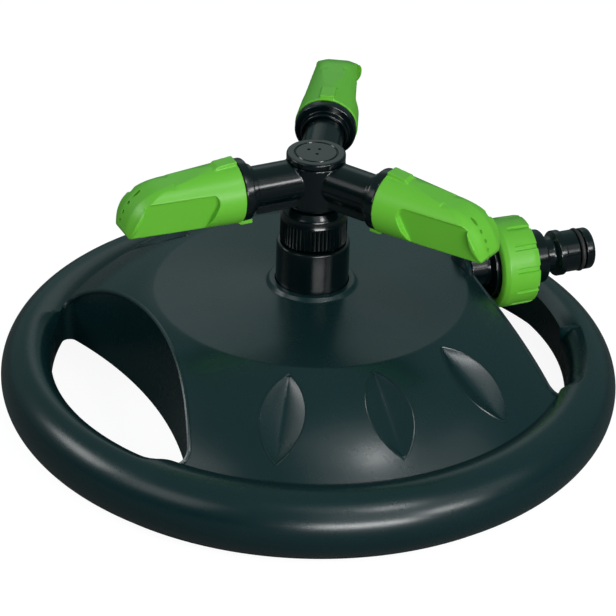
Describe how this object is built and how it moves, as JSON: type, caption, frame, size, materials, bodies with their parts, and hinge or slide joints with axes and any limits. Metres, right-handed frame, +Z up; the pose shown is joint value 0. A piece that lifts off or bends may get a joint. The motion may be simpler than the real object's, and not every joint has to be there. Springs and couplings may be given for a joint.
{
  "type": "rotary sprinkler",
  "caption": "Free-standing rotary lawn sprinkler: adjustable nozzles on a spinning hub over a round moulded base with hand holes and a side hose inlet",
  "frame": {"origin": "on the ground, on the axis that the rotor spins about", "axes": "+Z up along the rotor's axis; the pictured front faces -Y; the inlet points between +X and +Y"},
  "size_m": [0.2298, 0.2294, 0.1121],
  "materials": {
    "base_plastic": "satin dark green-black moulded plastic",
    "gloss_black": "glossy near-black plastic",
    "lime_plastic": "semi-gloss lime green plastic",
    "seal_rubber": "plain black rubber",
    "slide_plastic": "off-white low-friction plastic",
    "screw_steel": "plain zinc-plated steel"
  },
  "bodies": {
    "base": {"base_shell": "base_plastic", "post_sleeve": "gloss_black", "riser_elbow": "gloss_black", "elbow_screw_1": "screw_steel", "elbow_screw_2": "screw_steel", "elbow_screw_3": "screw_steel", "sleeve_seal": "seal_rubber", "duct_seal": "seal_rubber", "inlet_pipe": "gloss_black", "inlet_washer": "seal_rubber", "thrust_washer": "slide_plastic", "spindle_seal": "seal_rubber", "retaining_nut": "gloss_black"},
    "inlet_adapter": {"hose_nipple": "gloss_black", "nipple_o_ring": "seal_rubber"},
    "union_nut": {"union_nut": "lime_plastic"},
    "rotor": {"rotor_hub": "gloss_black", "rotor_spindle": "gloss_black", "hub_cap": "gloss_black", "arm_collar_1": "gloss_black", "arm_collar_2": "gloss_black", "arm_collar_3": "gloss_black", "nozzle_seal_1": "seal_rubber", "nozzle_seal_2": "seal_rubber", "nozzle_seal_3": "seal_rubber"},
    "nozzle_1": {"nozzle_1": "lime_plastic"},
    "nozzle_2": {"nozzle_2": "lime_plastic"},
    "nozzle_3": {"nozzle_3": "lime_plastic"}
  },
  "joints": [
    {"name": "rotor_spin", "type": "hinge", "parent": "base", "child": "rotor", "pos_m": [0, 0, 0.095], "axis": [0, 0, 1], "continuous": true},
    {"name": "inlet_slide", "type": "slide", "parent": "base", "child": "inlet_adapter", "axis": [0.9259, 0.3778, 0], "range_m": [0, 0.00544]},
    {"name": "nut_turn", "type": "hinge", "parent": "inlet_adapter", "child": "union_nut", "pos_m": [0.07407, 0.03023, 0.0455], "axis": [0.9259, 0.3778, 0], "range_deg": [0, 1080]},
    {"name": "nozzle_1_turn", "type": "hinge", "parent": "rotor", "child": "nozzle_1", "pos_m": [0, 0, 0.095], "axis": [-0.8996, -0.4368, 0], "range_deg": [-45, 45]},
    {"name": "nozzle_2_turn", "type": "hinge", "parent": "rotor", "child": "nozzle_2", "pos_m": [0, 0, 0.095], "axis": [0.8281, -0.5606, 0], "range_deg": [-45, 45]},
    {"name": "nozzle_3_turn", "type": "hinge", "parent": "rotor", "child": "nozzle_3", "pos_m": [0, 0, 0.095], "axis": [0.1054, 0.9858, 0.1305], "range_deg": [-45, 45]}
  ],
  "couplings": [
    {"joint": "inlet_slide", "follows": "nut_turn", "m_per_rad": 0.0002887}
  ]
}
